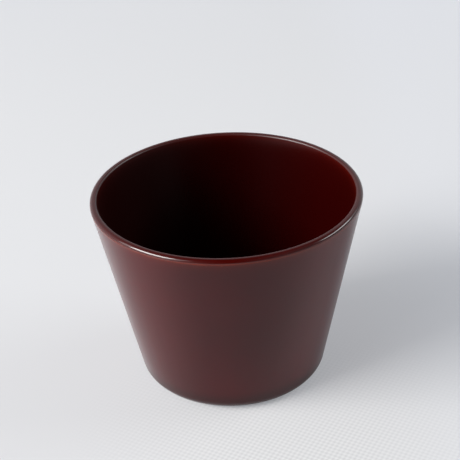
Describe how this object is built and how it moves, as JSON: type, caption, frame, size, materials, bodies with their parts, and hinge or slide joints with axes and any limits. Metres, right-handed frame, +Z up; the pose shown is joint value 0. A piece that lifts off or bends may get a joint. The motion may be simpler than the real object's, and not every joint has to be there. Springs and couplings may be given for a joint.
{
  "type": "sake cup",
  "caption": "Flared lacquered wooden sake cup with straight sides, a thin rounded lip and a flat standing ring, drunk from and set down by hand.",
  "frame": {"origin": "middle of the face that the cup stands on", "axes": "+Z up along the turning axis; -Y towards the camera of the picture and +X to its right, though the cup is the same all round"},
  "size_m": [0.068, 0.068, 0.0504],
  "materials": {
    "core_wood": "turned, fine grained, sealed under the lacquer",
    "red_undercoat": "red lacquer undercoat, rubbed matt",
    "inner_lacquer": "brown translucent lacquer over red, glossy",
    "rim_lacquer": "brown translucent lacquer, thin and redder at the lip's edge, glossy",
    "outer_lacquer": "brown translucent lacquer over red, satin",
    "base_lacquer": "dark brown lacquer, satin, worn on the standing ring"
  },
  "bodies": {
    "root": {"wood_core": "core_wood", "inner_undercoat": "red_undercoat", "rim_undercoat": "red_undercoat", "outer_undercoat": "red_undercoat", "base_undercoat": "red_undercoat", "inner_topcoat": "inner_lacquer", "rim_topcoat": "rim_lacquer", "outer_topcoat": "outer_lacquer", "base_topcoat": "base_lacquer"}
  },
  "joints": []
}
